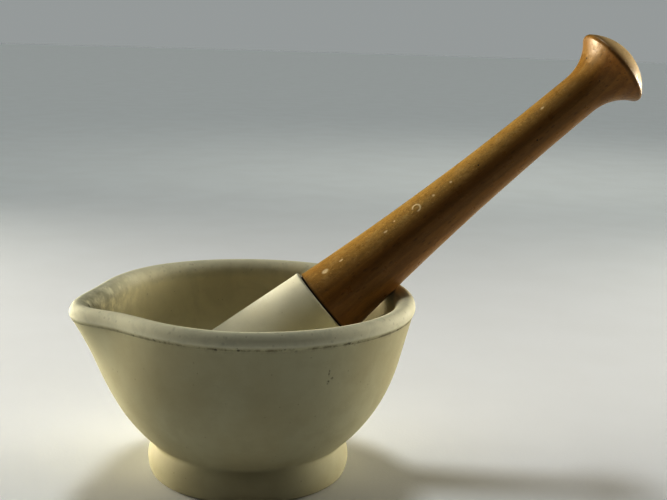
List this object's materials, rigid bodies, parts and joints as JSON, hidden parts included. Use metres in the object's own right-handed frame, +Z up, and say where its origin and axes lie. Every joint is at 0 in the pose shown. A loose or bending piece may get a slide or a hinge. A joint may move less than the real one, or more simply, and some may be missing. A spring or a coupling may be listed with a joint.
{
  "type": "mortar and pestle",
  "caption": "Footed ceramic mortar with a pouring lip, and a pestle with a ceramic grinding head cemented to a turned wooden handle.",
  "frame": {"origin": "centre of the mortar's foot, on the surface that it stands on", "axes": "+Z up, -X towards the pouring lip; the pestle leans towards +X"},
  "size_m": [0.2405, 0.1396, 0.1893],
  "materials": {
    "mortar_ceramic": "unglazed, matt, slightly soiled",
    "head_ceramic": "unglazed, smooth, matt",
    "cement": "dark hardened cement",
    "beech": "varnished, worn satin"
  },
  "bodies": {
    "mortar": {"mortar": "mortar_ceramic"},
    "pestle": {"pestle_head": "head_ceramic", "joint_cement": "cement", "handle": "beech"}
  },
  "joints": [
    {"name": "pestle_lift", "type": "slide", "parent": "mortar", "child": "pestle", "axis": [0, 0, 1], "range_m": [0, 0.1]}
  ]
}
